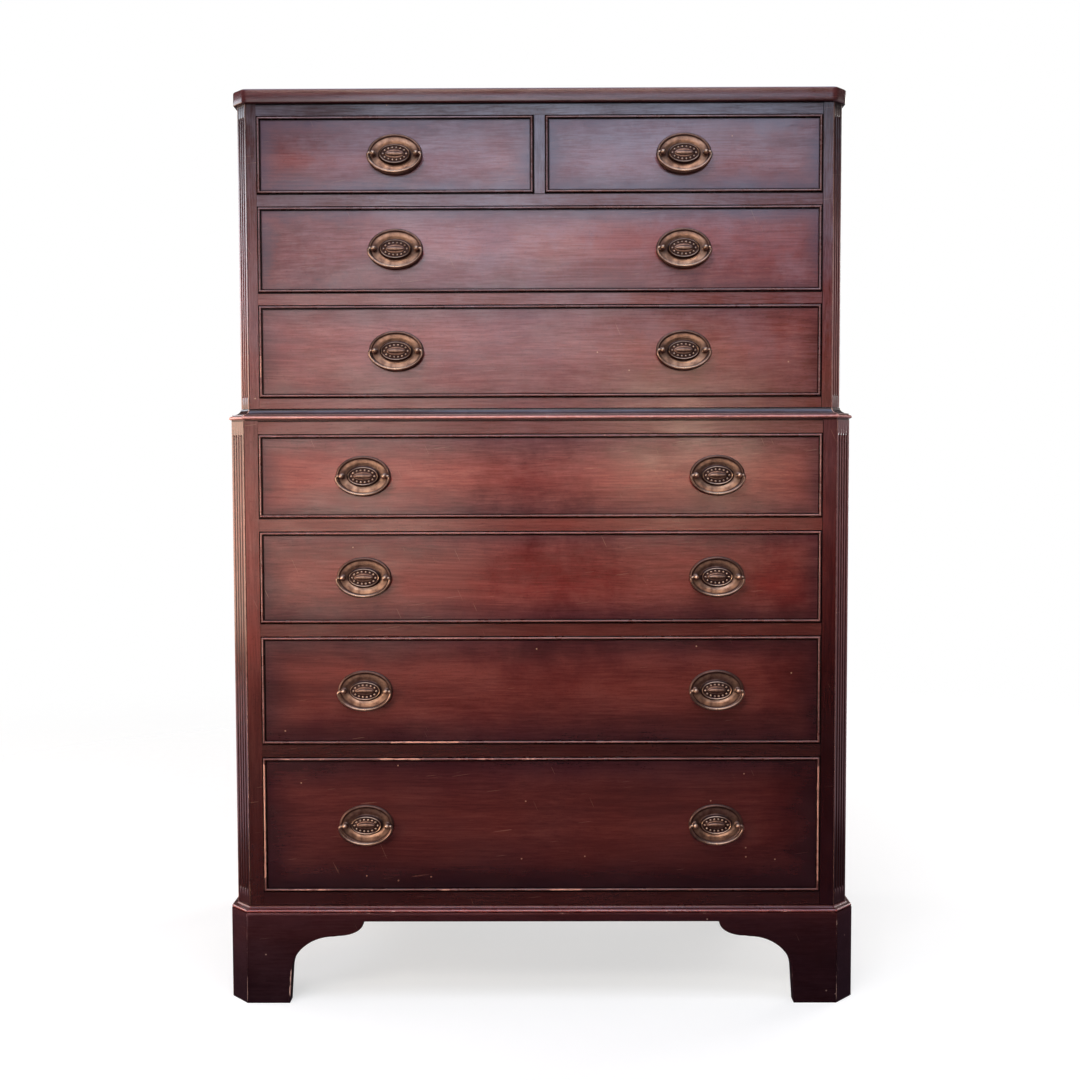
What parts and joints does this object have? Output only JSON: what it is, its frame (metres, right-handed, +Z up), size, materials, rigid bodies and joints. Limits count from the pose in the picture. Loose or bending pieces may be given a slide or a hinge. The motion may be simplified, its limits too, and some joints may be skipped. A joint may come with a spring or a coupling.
{
  "type": "highboy",
  "caption": "Tall two-stage mahogany chest of drawers with canted fluted corners, cock-beaded sliding drawers, swinging oval bail pulls, a waist moulding and bracket feet.",
  "frame": {"origin": "on the floor, under the middle of the bounding box", "axes": "+Z up, drawers open towards -Y, +X to the right as seen from the front"},
  "size_m": [0.95, 0.5272, 1.3716],
  "materials": {
    "case_mahogany": "dark red-brown mahogany, satin lacquer, worn edges",
    "drawer_mahogany": "red-brown mahogany toned darker at the edges, satin lacquer",
    "base_mahogany": "very dark mahogany, satin lacquer, chipped edges",
    "plain_wood": "bare pale inner wood, planed",
    "plate_brass": "antique brass with dark patina in the hollows",
    "bail_brass": "antique brass rubbed bright on top"
  },
  "bodies": {
    "case": {"top_board": "case_mahogany", "upper_front_frame": "case_mahogany", "upper_left_side": "case_mahogany", "upper_right_side": "case_mahogany", "upper_partition": "plain_wood", "upper_back": "plain_wood", "waist_board": "case_mahogany", "lower_front_frame": "case_mahogany", "lower_left_side": "case_mahogany", "lower_right_side": "case_mahogany", "lower_back": "plain_wood", "base_board": "base_mahogany", "bracket_base_front": "base_mahogany", "bracket_base_left": "base_mahogany", "bracket_base_right": "base_mahogany", "base_back_rail": "plain_wood"},
    "drawer_1_left": {"drawer_1_left_front": "drawer_mahogany", "drawer_1_left_box": "plain_wood", "drawer_1_left_pull_plate": "plate_brass"},
    "drawer_1_right": {"drawer_1_right_front": "drawer_mahogany", "drawer_1_right_box": "plain_wood", "drawer_1_right_pull_plate": "plate_brass"},
    "drawer_2": {"drawer_2_front": "drawer_mahogany", "drawer_2_box": "plain_wood", "drawer_2_left_pull_plate": "plate_brass", "drawer_2_right_pull_plate": "plate_brass"},
    "drawer_3": {"drawer_3_front": "drawer_mahogany", "drawer_3_box": "plain_wood", "drawer_3_left_pull_plate": "plate_brass", "drawer_3_right_pull_plate": "plate_brass"},
    "drawer_4": {"drawer_4_front": "drawer_mahogany", "drawer_4_box": "plain_wood", "drawer_4_left_pull_plate": "plate_brass", "drawer_4_right_pull_plate": "plate_brass"},
    "drawer_5": {"drawer_5_front": "drawer_mahogany", "drawer_5_box": "plain_wood", "drawer_5_left_pull_plate": "plate_brass", "drawer_5_right_pull_plate": "plate_brass"},
    "drawer_6": {"drawer_6_front": "drawer_mahogany", "drawer_6_box": "plain_wood", "drawer_6_left_pull_plate": "plate_brass", "drawer_6_right_pull_plate": "plate_brass"},
    "drawer_7": {"drawer_7_front": "drawer_mahogany", "drawer_7_box": "plain_wood", "drawer_7_left_pull_plate": "plate_brass", "drawer_7_right_pull_plate": "plate_brass"},
    "drawer_1_left_bail": {"drawer_1_left_pull_bail": "bail_brass"},
    "drawer_1_right_bail": {"drawer_1_right_pull_bail": "bail_brass"},
    "drawer_2_left_bail": {"drawer_2_left_pull_bail": "bail_brass"},
    "drawer_2_right_bail": {"drawer_2_right_pull_bail": "bail_brass"},
    "drawer_3_left_bail": {"drawer_3_left_pull_bail": "bail_brass"},
    "drawer_3_right_bail": {"drawer_3_right_pull_bail": "bail_brass"},
    "drawer_4_left_bail": {"drawer_4_left_pull_bail": "bail_brass"},
    "drawer_4_right_bail": {"drawer_4_right_pull_bail": "bail_brass"},
    "drawer_5_left_bail": {"drawer_5_left_pull_bail": "bail_brass"},
    "drawer_5_right_bail": {"drawer_5_right_pull_bail": "bail_brass"},
    "drawer_6_left_bail": {"drawer_6_left_pull_bail": "bail_brass"},
    "drawer_6_right_bail": {"drawer_6_right_pull_bail": "bail_brass"},
    "drawer_7_left_bail": {"drawer_7_left_pull_bail": "bail_brass"},
    "drawer_7_right_bail": {"drawer_7_right_pull_bail": "bail_brass"}
  },
  "joints": [
    {"name": "drawer_1_left_slide", "type": "slide", "parent": "case", "child": "drawer_1_left", "axis": [0, -1, 0], "range_m": [0, 0.36]},
    {"name": "drawer_1_right_slide", "type": "slide", "parent": "case", "child": "drawer_1_right", "axis": [0, -1, 0], "range_m": [0, 0.36]},
    {"name": "drawer_2_slide", "type": "slide", "parent": "case", "child": "drawer_2", "axis": [0, -1, 0], "range_m": [0, 0.36]},
    {"name": "drawer_3_slide", "type": "slide", "parent": "case", "child": "drawer_3", "axis": [0, -1, 0], "range_m": [0, 0.36]},
    {"name": "drawer_4_slide", "type": "slide", "parent": "case", "child": "drawer_4", "axis": [0, -1, 0], "range_m": [0, 0.36]},
    {"name": "drawer_5_slide", "type": "slide", "parent": "case", "child": "drawer_5", "axis": [0, -1, 0], "range_m": [0, 0.36]},
    {"name": "drawer_6_slide", "type": "slide", "parent": "case", "child": "drawer_6", "axis": [0, -1, 0], "range_m": [0, 0.36]},
    {"name": "drawer_7_slide", "type": "slide", "parent": "case", "child": "drawer_7", "axis": [0, -1, 0], "range_m": [0, 0.36]},
    {"name": "drawer_1_left_bail_hinge", "type": "hinge", "parent": "drawer_1_left", "child": "drawer_1_left_bail", "pos_m": [-0.21463, -0.24575, 1.2757], "axis": [-1, 0, 0], "range_deg": [-8, 188]},
    {"name": "drawer_1_right_bail_hinge", "type": "hinge", "parent": "drawer_1_right", "child": "drawer_1_right_bail", "pos_m": [0.21463, -0.24575, 1.2757], "axis": [-1, 0, 0], "range_deg": [-8, 188]},
    {"name": "drawer_2_left_bail_hinge", "type": "hinge", "parent": "drawer_2", "child": "drawer_2_left_bail", "pos_m": [-0.21463, -0.24575, 1.1362], "axis": [-1, 0, 0], "range_deg": [-8, 188]},
    {"name": "drawer_2_right_bail_hinge", "type": "hinge", "parent": "drawer_2", "child": "drawer_2_right_bail", "pos_m": [0.21463, -0.24575, 1.1362], "axis": [-1, 0, 0], "range_deg": [-8, 188]},
    {"name": "drawer_3_left_bail_hinge", "type": "hinge", "parent": "drawer_3", "child": "drawer_3_left_bail", "pos_m": [-0.21463, -0.24575, 0.9852], "axis": [-1, 0, 0], "range_deg": [-8, 188]},
    {"name": "drawer_3_right_bail_hinge", "type": "hinge", "parent": "drawer_3", "child": "drawer_3_right_bail", "pos_m": [0.21463, -0.24575, 0.9852], "axis": [-1, 0, 0], "range_deg": [-8, 188]},
    {"name": "drawer_4_left_bail_hinge", "type": "hinge", "parent": "drawer_4", "child": "drawer_4_left_bail", "pos_m": [-0.264, -0.25975, 0.79855], "axis": [-1, 0, 0], "range_deg": [-8, 188]},
    {"name": "drawer_4_right_bail_hinge", "type": "hinge", "parent": "drawer_4", "child": "drawer_4_right_bail", "pos_m": [0.264, -0.25975, 0.79855], "axis": [-1, 0, 0], "range_deg": [-8, 188]},
    {"name": "drawer_5_left_bail_hinge", "type": "hinge", "parent": "drawer_5", "child": "drawer_5_left_bail", "pos_m": [-0.264, -0.25975, 0.64695], "axis": [-1, 0, 0], "range_deg": [-8, 188]},
    {"name": "drawer_5_right_bail_hinge", "type": "hinge", "parent": "drawer_5", "child": "drawer_5_right_bail", "pos_m": [0.264, -0.25975, 0.64695], "axis": [-1, 0, 0], "range_deg": [-8, 188]},
    {"name": "drawer_6_left_bail_hinge", "type": "hinge", "parent": "drawer_6", "child": "drawer_6_left_bail", "pos_m": [-0.264, -0.25975, 0.47635], "axis": [-1, 0, 0], "range_deg": [-8, 188]},
    {"name": "drawer_6_right_bail_hinge", "type": "hinge", "parent": "drawer_6", "child": "drawer_6_right_bail", "pos_m": [0.264, -0.25975, 0.47635], "axis": [-1, 0, 0], "range_deg": [-8, 188]},
    {"name": "drawer_7_left_bail_hinge", "type": "hinge", "parent": "drawer_7", "child": "drawer_7_left_bail", "pos_m": [-0.264, -0.25975, 0.272], "axis": [-1, 0, 0], "range_deg": [-8, 188]},
    {"name": "drawer_7_right_bail_hinge", "type": "hinge", "parent": "drawer_7", "child": "drawer_7_right_bail", "pos_m": [0.264, -0.25975, 0.272], "axis": [-1, 0, 0], "range_deg": [-8, 188]}
  ]
}
